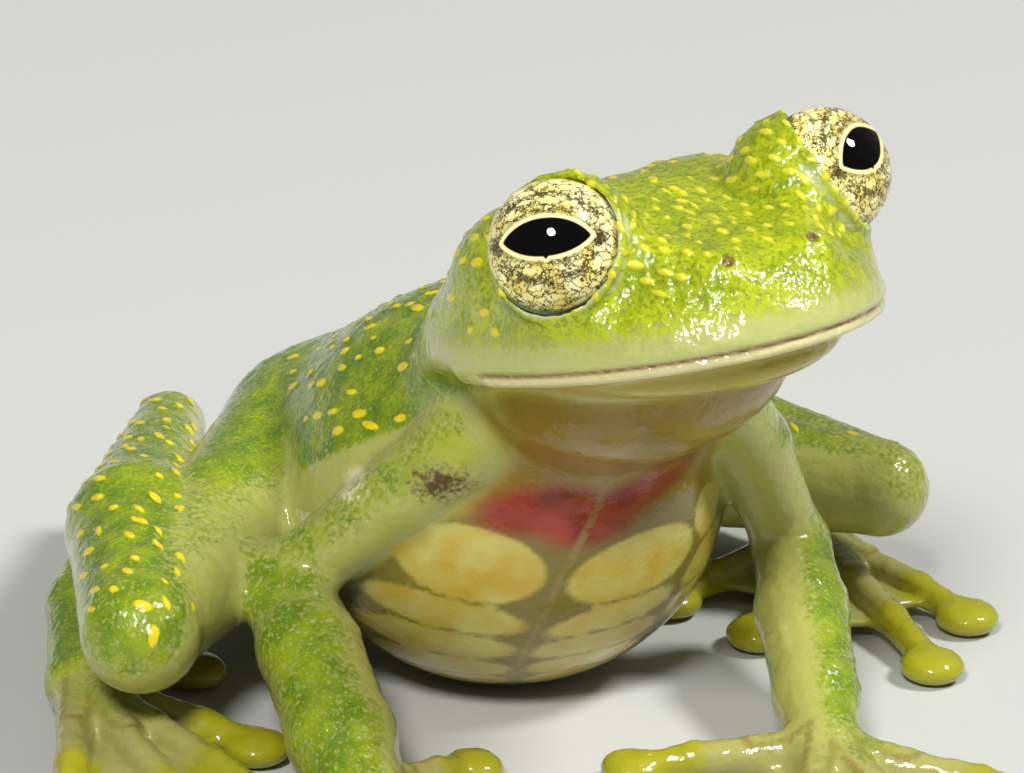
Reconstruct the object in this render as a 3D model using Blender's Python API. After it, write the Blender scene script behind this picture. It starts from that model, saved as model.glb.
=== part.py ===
"""A still, life-size glass frog sitting with its head raised, as separate solids that meet at its joints.

The frog faces -Y with +X on its own left, and the floor is z = 0. Each piece is a blend of
ellipsoids and tapering limbs, worked as one distance field by geometry nodes, in millimetres.
A piece keeps the part of the whole animal that is nearest to its own masses.
"""
from math import atan2, radians, sqrt

import bmesh
import bpy
from mathutils import Matrix, Vector

# Driving sizes in millimetres
voxelSize = 0.17
pieceGap = 0.14
eyeRadius = 1.55
eyeClearance = 0.08
eyeSpacing = 7.32
mouthTilt = radians(6.1)
bodySlope = radians(36)
rumpSlope = radians(28)
digitRadius = 0.36
knuckleRadius = 0.46
padRadius = 0.74
toePadRadius = 0.80
padDepth = 0.42
padHeight = 0.36
knuckleHeight = 0.72
fingerRay = 2.2
toeRay = 3.0
metre = 0.001
far = 1e9

# Triangles wanted for each kind of piece
triangleBudget = {
    "head": 1180,
    "lower_jaw": 330,
    "trunk": 1130,
    "upper_arm": 200,
    "forearm": 240,
    "hand": 200,
    "finger": 110,
    "thigh": 280,
    "shank": 260,
    "tarsus": 180,
    "foot": 260,
    "toe": 110,
}


def turned(yaw=0.0, pitch=0.0, roll=0.0):
    """Axes of something that faces -Y, pitched nose up, rolled its left side up and then turned to its left."""
    pitched = Matrix.Rotation(-pitch, 3, "X")
    rolled = Matrix.Rotation(-roll, 3, "Y")
    return Matrix.Rotation(yaw, 3, "Z") @ pitched @ rolled


# The head has its own axes: to the left, backwards and up from the point midway between the eyes
headCentre = Vector((-0.41, -9.01, 14.0))
headTurn = turned(radians(1.6), radians(9.7), radians(4.95))
mouthTurn = headTurn @ Matrix.Rotation(-mouthTilt, 3, "X")
slopeTurn = turned(pitch=bodySlope)
rumpTurn = turned(pitch=rumpSlope)
level = Matrix.Identity(3)


def onHead(left, forward, up):
    return headCentre + headTurn @ Vector((left, -forward, up))


mouthCentre = onHead(0, -2.2, -2.955)


def onMouth(left, forward, up):
    return mouthCentre + mouthTurn @ Vector((left, -forward, up))


# A mass is a dictionary with its shape, its size and the reach over which it blends with the last
def egg(centre, radii, blend=0.0, turn=level):
    return {"shape": "egg", "centre": Vector(centre), "radii": Vector(radii), "turn": turn, "blend": blend}


def trimmed(mass, point, facing, blend):
    """Keeps only the side of a mass that a plane faces."""
    return {**mass, "plane": Vector(point), "facing": Vector(facing), "planeBlend": blend}


def limb(points, radii, blend=0.4):
    ends = zip(points[:-1], points[1:], radii[:-1], radii[1:])
    return [
        {"shape": "cone", "start": Vector(a), "end": Vector(b), "radii": (ra, rb), "blend": blend}
        for a, b, ra, rb in ends
    ]


def trunkMasses():
    return [
        egg((-0.1, -3.4, 7.7), (3.9, 4.0, 3.2), turn=slopeTurn),
        egg((0, 1.2, 5.2), (4.5, 5.6, 3.6), 1.5, slopeTurn),
        egg((0, 5.0, 4.0), (3.7, 4.8, 2.7), 1.5, rumpTurn),
        egg((-0.3, -1.3, 4.5), (5.3, 4.9, 4.55), 1.2),
        egg((-0.25, -5.2, 10.2), (3.75, 3.6, 2.8), 1.5, slopeTurn),
        egg((-0.3, -7.0, 9.7), (3.8, 2.9, 2.3), 1.2, slopeTurn),
    ]


def eyeOpening(side):
    """The direction that an eye faces, in the head's axes."""
    return (headTurn @ Vector((0.74 * side, -0.42, 0.47))).normalized()


def eyeCentre(side):
    return onHead(side * eyeSpacing / 2, 0, 0)


def headMasses():
    masses = [
        trimmed(egg(mouthCentre, (4.82, 6.4, 2.75), 0.0, mouthTurn), onMouth(0, 0, -0.06), mouthTurn.col[2], 0.3),
        egg(onHead(0, -2.2, -1.6), (3.6, 3.2, 2.0), 0.8, headTurn),
        egg(onHead(0, 0.9, -1.5), (2.5, 2.55, 1.2), 1.1, headTurn),
    ]
    for side in (-1, 1):
        nostril = onHead(1.1 * side, 2.75, -0.95)
        socket = eyeCentre(side) - 0.42 * eyeOpening(side)
        socket += headTurn @ Vector((-0.16 * side, 0.16, 0.07))
        masses += limb([onHead(2.4 * side, 0.6, -0.55), onHead(1.2 * side, 2.45, -0.95)], [0.65, 0.6], 0.8)
        masses.append(egg(nostril, (0.55, 0.5, 0.5), 0.5, headTurn))
        masses.append(egg(onHead(3.1 * side, -0.9, -1.9), (1.5, 2.4, 1.2), 0.6, headTurn))
        masses.append(egg(onHead(2.3 * side, -3.0, -1.35), (1.9, 2.4, 1.7), 1.2, headTurn))
        masses.append(egg(socket, (1.7, 1.7, 1.7), 0.6))
    return masses


def jawMasses():
    rim = egg(onMouth(0, -0.08, -0.2), (4.72, 6.3, 0.5), 0.0, mouthTurn)
    throat = egg(onHead(0, -1.9, -3.2), (3.7, 4.9, 0.95), 0.4, headTurn)
    corner = onMouth(0, -1.2, 0)
    return [trimmed(mass, corner, -mouthTurn.col[1], 0.3) for mass in (rim, throat)]


# Where the limbs bend, for the frog's right side and its left side
shoulder = {"right": (-2.9, -5.0, 8.2), "left": (2.5, -5.3, 8.4)}
armMiddle = {"right": (-4.6, -3.6, 6.0), "left": (4.2, -4.9, 6.2)}
elbow = {"right": (-6.7, -1.75, 3.5), "left": (5.85, -4.4, 3.2)}
wrist = {"right": (-8.25, -8.35, 0.95), "left": (2.75, -10.8, 0.95)}
fingerTips = {
    "right": [(-4.5, -7.1), (-5.4, -12.3), (-8.9, -15.0), (-12.6, -12.2)],
    "left": [(-1.35, -8.75), (-0.4, -14.4), (2.6, -17.4), (6.5, -14.9)],
}
hip = {"right": (-1.9, 6.0, 3.8), "left": (1.9, 6.0, 3.8)}
thighMiddle = {"right": (-6.2, 1.9, 3.4), "left": (5.6, 1.9, 3.4)}
knee = {"right": (-11.0, -2.7, 3.3), "left": (9.95, -2.17, 3.2)}
calf = {"right": (-8.5, 2.26, 3.6), "left": (7.8, 2.8, 3.4)}
heel = {"right": (-4.0, 9.2, 3.3), "left": (4.1, 9.2, 3.3)}
tarsusMiddle = {"right": (-9.5, 3.47, 1.5), "left": (9.3, 3.2, 1.5)}
ankle = {"right": (-11.0, 0.37, 0.95), "left": (10.0, 0.9, 0.95)}
toeTips = {
    "right": [(-7.5, 1.0), (-8.45, -3.9), (-9.7, -7.3), (-12.0, -8.4), (-14.2, -5.3)],
    "left": [(5.03, -0.27), (5.82, -3.14), (6.3, -5.4), (8.59, -6.79), (11.19, -4.55)],
}
limbGirth = {
    "right": {"arm": (1.15, 0.95, 0.85), "forearm": (0.92, 1.2, 1.25, 0.9), "thigh": (2.0, 1.85, 1.3),
              "shank": (1.42, 1.68, 0.9), "tarsus": (0.8, 0.72, 0.78)},
    "left": {"arm": (1.15, 0.95, 0.85), "forearm": (0.9, 1.1, 1.0, 0.8), "thigh": (2.0, 1.7, 1.15),
             "shank": (1.2, 1.5, 0.9), "tarsus": (0.8, 0.75, 0.75)},
}


def between(start, end, share):
    return Vector(start).lerp(Vector(end), share)


def knuckle(root, tip, reach):
    """Where a digit leaves the palm or the sole."""
    root = Vector(root)
    along = Vector((tip[0] - root.x, tip[1] - root.y, 0))
    length = along.length
    point = root + along.normalized() * min(reach, 0.35 * length)
    point.z = knuckleHeight
    return point


def digitMasses(start, tip, pad):
    tip = Vector((tip[0], tip[1], padHeight))
    along = (tip - start).normalized()
    middle = between(start, tip, 0.5)
    middle.z = max(middle.z, 0.62)
    radii = [knuckleRadius - 0.04, (knuckleRadius + digitRadius) / 2 - 0.02, digitRadius]
    turn = Matrix.Rotation(atan2(along.y, along.x), 3, "Z")
    masses = limb([start, middle, tip - along * 0.55], radii, 0.2)
    masses.append(egg(tip - along * 0.1, (pad, pad, padDepth), 0.25, turn))
    return masses


def soleMasses(root, tips, reach):
    """The palm or sole: a strut from the wrist or ankle to each knuckle."""
    start = Vector(root) - Vector((0, 0, 0.1))
    masses = []
    knuckles = [knuckle(root, tip, reach) for tip in tips]
    for point in knuckles:
        masses += limb([start, point], [0.6, knuckleRadius], 0.5)
    return masses


def armPieces(side):
    root = wrist[side]
    tips = fingerTips[side]
    girth = limbGirth[side]
    bend = Vector(elbow[side])
    hand = Vector(root)
    pieces = {
        "upper_arm_" + side: limb([shoulder[side], armMiddle[side], bend], girth["arm"]),
        "forearm_" + side: limb(
            [bend, between(bend, hand, 0.33), between(bend, hand, 0.76), hand], girth["forearm"]
        ),
        "hand_" + side: soleMasses(root, tips, fingerRay),
    }
    for number, tip in enumerate(tips, 1):
        start = knuckle(root, tip, fingerRay)
        pieces["finger_" + str(number) + "_" + side] = digitMasses(start, tip, padRadius)
    return pieces


def legPieces(side):
    root = ankle[side]
    tips = toeTips[side]
    girth = limbGirth[side]
    pieces = {
        "thigh_" + side: limb([hip[side], thighMiddle[side], knee[side]], girth["thigh"], 0.5),
        "shank_" + side: limb([knee[side], calf[side], heel[side]], girth["shank"], 0.5),
        "tarsus_" + side: limb([heel[side], tarsusMiddle[side], root], girth["tarsus"], 0.4),
        "foot_" + side: soleMasses(root, tips, toeRay),
    }
    for number, tip in enumerate(tips, 1):
        start = knuckle(root, tip, toeRay)
        pieces["toe_" + str(number) + "_" + side] = digitMasses(start, tip, toePadRadius)
    return pieces


def allPieces():
    pieces = {"trunk": trunkMasses(), "head": headMasses(), "lower_jaw": jawMasses()}
    for side in ("right", "left"):
        pieces.update(armPieces(side))
    for side in ("right", "left"):
        pieces.update(legPieces(side))
    return pieces


def joinReach(name):
    """How softly a piece blends into the pieces before it."""
    if name.startswith(("shank", "tarsus")):
        return 0.15
    if name.startswith("foot"):
        return 0.4
    if name.startswith(("toe", "finger")):
        return 0.2
    return {"head": 1.2, "lower_jaw": 0.15}.get(name, 0.6)


# Geometry node helpers
def math(tree, operation, *values):
    node = tree.nodes.new("ShaderNodeMath")
    node.operation = operation
    for socket, value in zip(node.inputs, values):
        feed(tree, socket, value)
    return node.outputs[0]


def vector(tree, operation, *values, output="Vector"):
    node = tree.nodes.new("ShaderNodeVectorMath")
    node.operation = operation
    for socket, value in zip(node.inputs, values):
        feed(tree, socket, value)
    return node.outputs[output]


def scaled(tree, value, factor):
    node = tree.nodes.new("ShaderNodeVectorMath")
    node.operation = "SCALE"
    feed(tree, node.inputs["Vector"], value)
    feed(tree, node.inputs["Scale"], factor)
    return node.outputs["Vector"]


def feed(tree, socket, value):
    if isinstance(value, bpy.types.NodeSocket):
        tree.links.new(value, socket)
    else:
        socket.default_value = value


def newGroup(name, inputs, outputs):
    tree = bpy.data.node_groups.new(name, "GeometryNodeTree")
    for label, kind in inputs:
        tree.interface.new_socket(label, in_out="INPUT", socket_type=kind)
    for label, kind in outputs:
        tree.interface.new_socket(label, in_out="OUTPUT", socket_type=kind)
    entry = tree.nodes.new("NodeGroupInput")
    leave = tree.nodes.new("NodeGroupOutput")
    return tree, entry.outputs, leave.inputs


def coneGroup():
    """Distance to a limb that tapers between two round ends."""
    kinds = [("Start", "NodeSocketVector"), ("End", "NodeSocketVector"),
             ("Start radius", "NodeSocketFloat"), ("End radius", "NodeSocketFloat")]
    tree, given, result = newGroup("limb distance", kinds, [("Distance", "NodeSocketFloat")])
    place = tree.nodes.new("GeometryNodeInputPosition").outputs[0]
    offset = vector(tree, "SUBTRACT", place, given["Start"])
    axis = vector(tree, "SUBTRACT", given["End"], given["Start"])
    reach = vector(tree, "DOT_PRODUCT", offset, axis, output="Value")
    length = vector(tree, "DOT_PRODUCT", axis, axis, output="Value")
    share = math(tree, "DIVIDE", reach, length)
    share = math(tree, "MINIMUM", math(tree, "MAXIMUM", share, 0.0), 1.0)
    away = vector(tree, "LENGTH", vector(tree, "SUBTRACT", offset, scaled(tree, axis, share)), output="Value")
    taper = math(tree, "SUBTRACT", given["End radius"], given["Start radius"])
    radius = math(tree, "MULTIPLY_ADD", taper, share, given["Start radius"])
    feed(tree, result["Distance"], math(tree, "SUBTRACT", away, radius))
    return tree


def eggGroup():
    """Distance to a turned ellipsoid, close to the true one near its surface."""
    kinds = [("Centre", "NodeSocketVector"), ("Radii", "NodeSocketVector"), ("Turn", "NodeSocketVector")]
    tree, given, result = newGroup("ellipsoid distance", kinds, [("Distance", "NodeSocketFloat")])
    place = tree.nodes.new("GeometryNodeInputPosition").outputs[0]
    turn = tree.nodes.new("ShaderNodeVectorRotate")
    turn.rotation_type = "EULER_XYZ"
    turn.invert = True
    feed(tree, turn.inputs["Vector"], vector(tree, "SUBTRACT", place, given["Centre"]))
    feed(tree, turn.inputs["Rotation"], given["Turn"])
    shrunk = vector(tree, "DIVIDE", turn.outputs[0], given["Radii"])
    outward = vector(tree, "DIVIDE", shrunk, given["Radii"])
    size = vector(tree, "LENGTH", shrunk, output="Value")
    slope = math(tree, "MAXIMUM", vector(tree, "LENGTH", outward, output="Value"), 0.0001)
    excess = math(tree, "MULTIPLY", size, math(tree, "SUBTRACT", size, 1.0))
    feed(tree, result["Distance"], math(tree, "DIVIDE", excess, slope))
    return tree


def useGroup(tree, group, values):
    node = tree.nodes.new("GeometryNodeGroup")
    node.node_tree = group
    for label, value in values.items():
        feed(tree, node.inputs[label], value)
    return node.outputs[0]


def massDistance(tree, mass, groups):
    if mass["shape"] == "cone":
        values = {"Start": mass["start"], "End": mass["end"],
                  "Start radius": mass["radii"][0], "End radius": mass["radii"][1]}
        return useGroup(tree, groups["cone"], values)
    values = {"Centre": mass["centre"], "Radii": mass["radii"], "Turn": Vector(mass["turn"].to_euler())}
    distance = useGroup(tree, groups["egg"], values)
    if "plane" in mass:
        place = tree.nodes.new("GeometryNodeInputPosition").outputs[0]
        behind = vector(tree, "SUBTRACT", mass["plane"], place)
        depth = vector(tree, "DOT_PRODUCT", behind, mass["facing"], output="Value")
        distance = math(tree, "SMOOTH_MAX", distance, depth, mass["planeBlend"])
    return distance


def fieldGroup(pieces):
    """One group with the whole animal's distance and each piece's own distance."""
    outputs = [("Whole", "NodeSocketFloat")] + [(name, "NodeSocketFloat") for name in pieces]
    tree, given, result = newGroup("frog distance", [], outputs)
    groups = {"cone": coneGroup(), "egg": eggGroup()}
    whole = None
    for name, masses in pieces.items():
        own = None
        for mass in masses:
            distance = massDistance(tree, mass, groups)
            own = distance if own is None else math(tree, "SMOOTH_MIN", own, distance, max(mass["blend"], 0.01))
        feed(tree, result[name], own)
        whole = own if whole is None else math(tree, "SMOOTH_MIN", whole, own, joinReach(name))
    feed(tree, result["Whole"], whole)
    return tree


def reachOf(masses):
    """The box around a piece's masses, with room for the blends."""
    low = Vector((far, far, far))
    high = -low
    for mass in masses:
        if mass["shape"] == "cone":
            spheres = [(mass["start"], mass["radii"][0]), (mass["end"], mass["radii"][1])]
            spans = [(centre, Vector((radius,) * 3)) for centre, radius in spheres]
        else:
            axes = [mass["turn"].col[i] * mass["radii"][i] for i in range(3)]
            spans = [(mass["centre"], Vector([sqrt(sum(a[i] ** 2 for a in axes)) for i in range(3)]))]
        for centre, span in spans:
            low = Vector(map(min, low, centre - span))
            high = Vector(map(max, high, centre + span))
    room = Vector((0.7, 0.7, 0.7))
    return low - room, high + room


def pieceTree(name, pieces, field):
    """Nodes that turn one piece's share of the whole field into a closed surface."""
    tree, given, result = newGroup(name + " surface", [], [("Geometry", "NodeSocketGeometry")])
    distances = tree.nodes.new("GeometryNodeGroup")
    distances.node_tree = field
    nearest = None
    for other in pieces:
        if other == name:
            continue
        distance = distances.outputs[other]
        nearest = distance if nearest is None else math(tree, "MINIMUM", nearest, distance)
    lead = math(tree, "SUBTRACT", distances.outputs[name], nearest)
    lead = math(tree, "ADD", math(tree, "MULTIPLY", lead, 0.5), pieceGap / 2)
    inside = math(tree, "MAXIMUM", distances.outputs["Whole"], lead)
    low, high = reachOf(pieces[name])
    volume = tree.nodes.new("GeometryNodeVolumeCube")
    feed(tree, volume.inputs["Density"], math(tree, "MULTIPLY", inside, -1.0))
    volume.inputs["Background"].default_value = -5.0
    volume.inputs["Min"].default_value = low
    volume.inputs["Max"].default_value = high
    for axis, label in enumerate(("Resolution X", "Resolution Y", "Resolution Z")):
        volume.inputs[label].default_value = max(8, round((high[axis] - low[axis]) / voxelSize))
    surface = tree.nodes.new("GeometryNodeVolumeToMesh")
    surface.inputs["Threshold"].default_value = 0.0
    feed(tree, surface.inputs["Volume"], volume.outputs[0])
    feed(tree, result["Geometry"], surface.outputs[0])
    return tree


def evaluated(obj):
    bpy.context.view_layer.update()
    graph = bpy.context.evaluated_depsgraph_get()
    return bpy.data.meshes.new_from_object(obj.evaluated_get(graph))


def addCutter(name, place, addShape, **sizes):
    addShape(location=place, **sizes)
    cutter = bpy.context.object
    cutter.name = name
    cutter.hide_render = True
    cutter.display_type = "WIRE"
    for holder in list(cutter.users_collection):
        holder.objects.unlink(cutter)
    bpy.data.collections["cutters"].objects.link(cutter)
    return cutter


def largestPart(mesh):
    """Drops anything a cut has left apart from the main body."""
    bm = bmesh.new()
    bm.from_mesh(mesh)
    unseen = set(bm.verts)
    parts = []
    while unseen:
        part = {unseen.pop()}
        edge = list(part)
        while edge:
            for link in edge.pop().link_edges:
                for vert in link.verts:
                    if vert in unseen:
                        unseen.discard(vert)
                        part.add(vert)
                        edge.append(vert)
        parts.append(part)
    parts.sort(key=len)
    for part in parts[:-1]:
        bmesh.ops.delete(bm, geom=list(part), context="VERTS")
    bmesh.ops.recalc_face_normals(bm, faces=bm.faces)
    bm.to_mesh(mesh)
    bm.free()
    return len(parts)


def newMaterial(name, colour, roughness):
    material = bpy.data.materials.new(name)
    material.use_nodes = True
    shader = material.node_tree.nodes["Principled BSDF"]
    shader.inputs["Base Color"].default_value = (*colour, 1.0)
    shader.inputs["Roughness"].default_value = roughness
    material.diffuse_color = (*colour, 1.0)
    return material


skinColours = {
    "head": (0.30, 0.42, 0.05),
    "lower_jaw": (0.62, 0.58, 0.30),
    "trunk": (0.30, 0.42, 0.06),
    "upper_arm": (0.38, 0.44, 0.12),
    "forearm": (0.32, 0.42, 0.10),
    "hand": (0.55, 0.52, 0.18),
    "finger": (0.66, 0.56, 0.06),
    "thigh": (0.36, 0.42, 0.14),
    "shank": (0.30, 0.42, 0.08),
    "tarsus": (0.36, 0.44, 0.14),
    "foot": (0.52, 0.50, 0.20),
    "toe": (0.66, 0.56, 0.06),
}


def kindOf(name):
    for kind in sorted(triangleBudget, key=len, reverse=True):
        if name.startswith(kind):
            return kind
    return name


def makePiece(name, pieces, field, cutters, holder):
    shell = bpy.data.objects.new(name + "_shell", bpy.data.meshes.new(name + "_shell"))
    holder.objects.link(shell)
    shell.modifiers.new("Surface", "NODES").node_group = pieceTree(name, pieces, field)
    full = evaluated(shell)
    budget = triangleBudget[kindOf(name)]
    triangles = sum(len(face.vertices) - 2 for face in full.polygons)
    solid = bpy.data.objects.new(name, full)
    holder.objects.link(solid)
    bpy.data.objects.remove(shell)
    largestPart(full)
    thin = solid.modifiers.new("Thin out", "DECIMATE")
    thin.ratio = min(1.0, budget / triangles)
    for cutter in cutters:
        cut = solid.modifiers.new("Cut " + cutter.name, "BOOLEAN")
        cut.operation = "DIFFERENCE"
        cut.solver = "EXACT"
        cut.object = cutter
    final = evaluated(solid)
    solid.modifiers.clear()
    parts = largestPart(final)
    final.transform(Matrix.Scale(metre, 4))
    final.shade_smooth()
    final.set_sharp_from_angle(angle=radians(50))
    final.name = name
    solid.data = final
    bpy.data.meshes.remove(full)
    material = newMaterial(name + " skin", skinColours[kindOf(name)], 0.35)
    final.materials.clear()
    final.materials.append(material)
    print(name, len(final.polygons), "faces", parts, "parts")
    return solid


def makeEye(name, side, holder):
    bpy.ops.mesh.primitive_uv_sphere_add(
        segments=22, ring_count=10, radius=eyeRadius * metre, location=eyeCentre(side) * metre
    )
    eye = bpy.context.object
    eye.name = name
    eye.rotation_mode = "QUATERNION"
    eye.rotation_quaternion = eyeOpening(side).to_track_quat("Z", "Y")
    eye.data.name = name
    eye.data.shade_smooth()
    eye.data.materials.append(newMaterial(name + " cornea", (0.72, 0.60, 0.30), 0.08))
    for other in list(eye.users_collection):
        other.objects.unlink(eye)
    holder.objects.link(eye)
    return eye


def centreOnFloor(objects):
    """Moves the animal sideways so that the origin is the middle of its box, on the floor."""
    bpy.context.view_layer.update()
    corners = [obj.matrix_world @ vert.co for obj in objects for vert in obj.data.vertices]
    middle = [(min(c[axis] for c in corners) + max(c[axis] for c in corners)) / 2 for axis in (0, 1)]
    for obj in objects:
        if obj.location.length > 0:
            obj.location -= Vector((*middle, 0))
        else:
            obj.data.transform(Matrix.Translation((-middle[0], -middle[1], 0)))
    print("moved by", -middle[0], -middle[1])


def main():
    for obj in list(bpy.data.objects):
        bpy.data.objects.remove(obj)
    scene = bpy.context.scene
    holder = bpy.data.collections.new("glass_frog")
    scene.collection.children.link(holder)
    cutterHolder = bpy.data.collections.new("cutters")
    scene.collection.children.link(cutterHolder)
    cutterHolder.hide_render = True

    pieces = allPieces()
    field = fieldGroup(pieces)
    floor = addCutter("floor", (0, 0, -5), bpy.ops.mesh.primitive_cube_add, size=10)
    floor.scale = (6, 6, 1)
    sockets = []
    for side, label in ((-1, "right"), (1, "left")):
        socket = addCutter(
            "socket_" + label, eyeCentre(side), bpy.ops.mesh.primitive_uv_sphere_add,
            segments=28, ring_count=14, radius=eyeRadius + eyeClearance,
        )
        sockets.append(socket)

    for name in pieces:
        touching = [floor] if name == "trunk" or name.startswith(("finger", "toe")) else []
        if name == "head":
            touching = sockets
        makePiece(name, pieces, field, touching, holder)
    for cutter in [floor] + sockets:
        bpy.data.objects.remove(cutter)
    makeEye("eye_right", -1, holder)
    makeEye("eye_left", 1, holder)
    for tree in list(bpy.data.node_groups):
        bpy.data.node_groups.remove(tree)
    centreOnFloor(holder.objects)


main()
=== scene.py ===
from math import atan2, cos, radians, sin

import bmesh
import bpy
import numpy as np
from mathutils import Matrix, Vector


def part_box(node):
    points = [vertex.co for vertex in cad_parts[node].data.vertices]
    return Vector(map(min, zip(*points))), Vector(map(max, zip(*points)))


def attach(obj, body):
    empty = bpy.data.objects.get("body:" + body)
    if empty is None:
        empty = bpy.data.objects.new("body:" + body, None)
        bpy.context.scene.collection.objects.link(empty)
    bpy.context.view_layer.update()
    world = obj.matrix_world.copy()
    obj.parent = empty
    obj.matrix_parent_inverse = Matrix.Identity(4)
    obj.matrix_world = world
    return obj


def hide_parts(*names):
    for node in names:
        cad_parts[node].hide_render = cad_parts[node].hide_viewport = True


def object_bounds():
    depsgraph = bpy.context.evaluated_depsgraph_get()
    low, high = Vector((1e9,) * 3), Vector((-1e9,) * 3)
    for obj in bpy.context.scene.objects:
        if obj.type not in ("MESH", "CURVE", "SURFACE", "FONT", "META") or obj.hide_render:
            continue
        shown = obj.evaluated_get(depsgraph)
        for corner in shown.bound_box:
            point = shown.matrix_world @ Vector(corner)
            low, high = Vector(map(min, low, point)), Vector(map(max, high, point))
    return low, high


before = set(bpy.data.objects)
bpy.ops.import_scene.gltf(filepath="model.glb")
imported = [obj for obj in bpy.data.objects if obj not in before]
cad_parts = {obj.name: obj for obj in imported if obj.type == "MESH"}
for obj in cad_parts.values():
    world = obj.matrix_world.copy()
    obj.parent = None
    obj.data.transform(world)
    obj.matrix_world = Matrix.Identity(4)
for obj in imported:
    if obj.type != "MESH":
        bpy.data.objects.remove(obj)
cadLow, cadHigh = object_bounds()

import openvdb
from mathutils import Matrix, Quaternion, Vector

sides = {"right": -1, "left": 1}    # the frog's own, and which way each lies along X
farAway = 9.0                       # mm, past the reach of any join or mark

# The animal's masses are the solids' own, in millimetres, facing -Y with +X on its left
body = {
    "headCentre": (-0.41, -9.01, 14.0),
    "headTurn": (1.6, 9.7, 4.95),    # yaw, nose up and left side up, in degrees
    "mouthTilt": 6.1,
    "bodySlope": 36.0,
    "rumpSlope": 28.0,
    "eyeRadius": 1.55,
    "eyeSpacing": 7.32,
    "digitRadius": 0.36,
    "digitHeight": 0.62,
    "knuckleRadius": 0.46,
    "knuckleHeight": 0.72,
    "padDepth": 0.42,
    "padHeight": 0.36,
}

# Radius of each disc, how far the palm or sole reaches, and how much of a digit is webbed
digits = (
    {"name": "finger", "root": "wrist", "tips": "fingers", "pad": 0.74, "palm": 2.2, "web": 0.42},
    {"name": "toe", "root": "ankle", "tips": "toes", "pad": 0.80, "palm": 3.0, "web": 0.62},
)


def turned(yaw=0.0, pitch=0.0, roll=0.0):
    pitched = Matrix.Rotation(-radians(pitch), 3, "X")
    rolled = Matrix.Rotation(-radians(roll), 3, "Y")
    return Matrix.Rotation(radians(yaw), 3, "Z") @ pitched @ rolled


# Head axes run to the left, backwards and up from the point midway between the eyes
headCentre = Vector(body["headCentre"])
headTurn = turned(*body["headTurn"])
mouthTurn = headTurn @ Matrix.Rotation(-radians(body["mouthTilt"]), 3, "X")
slopeTurn = turned(pitch=body["bodySlope"])
rumpTurn = turned(pitch=body["rumpSlope"])
level = Matrix.Identity(3)


def onHead(left, forward, up):
    return headCentre + headTurn @ Vector((left, -forward, up))


mouthCentre = onHead(0, -2.2, -2.955)


def onMouth(left, forward, up):
    return mouthCentre + mouthTurn @ Vector((left, -forward, up))


def egg(centre, radii, blend=0.0, turn=level):
    return {"shape": "egg", "centre": Vector(centre), "radii": Vector(radii),
            "turn": turn, "blend": blend}


def trimmed(mass, point, facing, blend):
    return {**mass, "plane": Vector(point), "facing": Vector(facing), "planeBlend": blend}


def limb(points, radii, blend=0.4):
    ends = zip(points[:-1], points[1:], radii[:-1], radii[1:])
    return [
        {"shape": "cone", "start": Vector(a), "end": Vector(b), "radii": (ra, rb), "blend": blend}
        for a, b, ra, rb in ends
    ]


trunkMasses = [
    egg((-0.1, -3.4, 7.7), (3.9, 4.0, 3.2), turn=slopeTurn),
    egg((0, 1.2, 5.2), (4.5, 5.6, 3.6), 1.5, slopeTurn),
    egg((0, 5.0, 4.0), (3.7, 4.8, 2.7), 1.5, rumpTurn),
    egg((-0.3, -1.3, 4.5), (5.3, 4.9, 4.55), 1.2),
    egg((-0.25, -5.2, 10.2), (3.75, 3.6, 2.8), 1.5, slopeTurn),
    egg((-0.3, -7.0, 9.7), (3.8, 2.9, 2.3), 1.2, slopeTurn),
]


def eyeOpening(side):
    return (headTurn @ Vector((0.74 * side, -0.42, 0.47))).normalized()


def eyeCentre(side):
    return onHead(side * body["eyeSpacing"] / 2, 0, 0)


def headMasses():
    upperJaw = egg(mouthCentre, (4.82, 6.4, 2.75), 0.0, mouthTurn)
    masses = [
        trimmed(upperJaw, onMouth(0, 0, -0.06), mouthTurn.col[2], 0.3),
        egg(onHead(0, -2.2, -1.6), (3.6, 3.2, 2.0), 0.8, headTurn),
        egg(onHead(0, 0.9, -1.5), (2.5, 2.55, 1.2), 1.1, headTurn),
    ]
    for side in sides.values():
        ridge = [onHead(2.4 * side, 0.6, -0.55), onHead(1.2 * side, 2.45, -0.95)]
        socket = eyeCentre(side) - 0.42 * eyeOpening(side)
        socket += headTurn @ Vector((-0.16 * side, 0.16, 0.07))
        rimPlane = eyeCentre(side) + 0.06 * eyeOpening(side)
        masses += [
            *limb(ridge, [0.65, 0.6], 0.8),
            egg(onHead(1.1 * side, 2.75, -0.95), (0.55, 0.5, 0.5), 0.5, headTurn),
            egg(onHead(3.1 * side, -0.9, -1.9), (1.5, 2.4, 1.2), 0.6, headTurn),
            egg(onHead(2.3 * side, -3.0, -1.35), (1.9, 2.4, 1.7), 1.2, headTurn),
            trimmed(egg(socket, (1.7, 1.7, 1.7), 0.95), rimPlane, -eyeOpening(side), 0.15),
        ]
    return masses


def jawMasses():
    rim = egg(onMouth(0, -0.08, -0.2), (4.72, 6.3, 0.5), 0.0, mouthTurn)
    throat = egg(onHead(0, -1.9, -3.2), (3.7, 4.9, 0.95), 0.4, headTurn)
    corner = onMouth(0, -1.2, 0)
    return [trimmed(mass, corner, -mouthTurn.col[1], 0.3) for mass in (rim, throat)]


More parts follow.
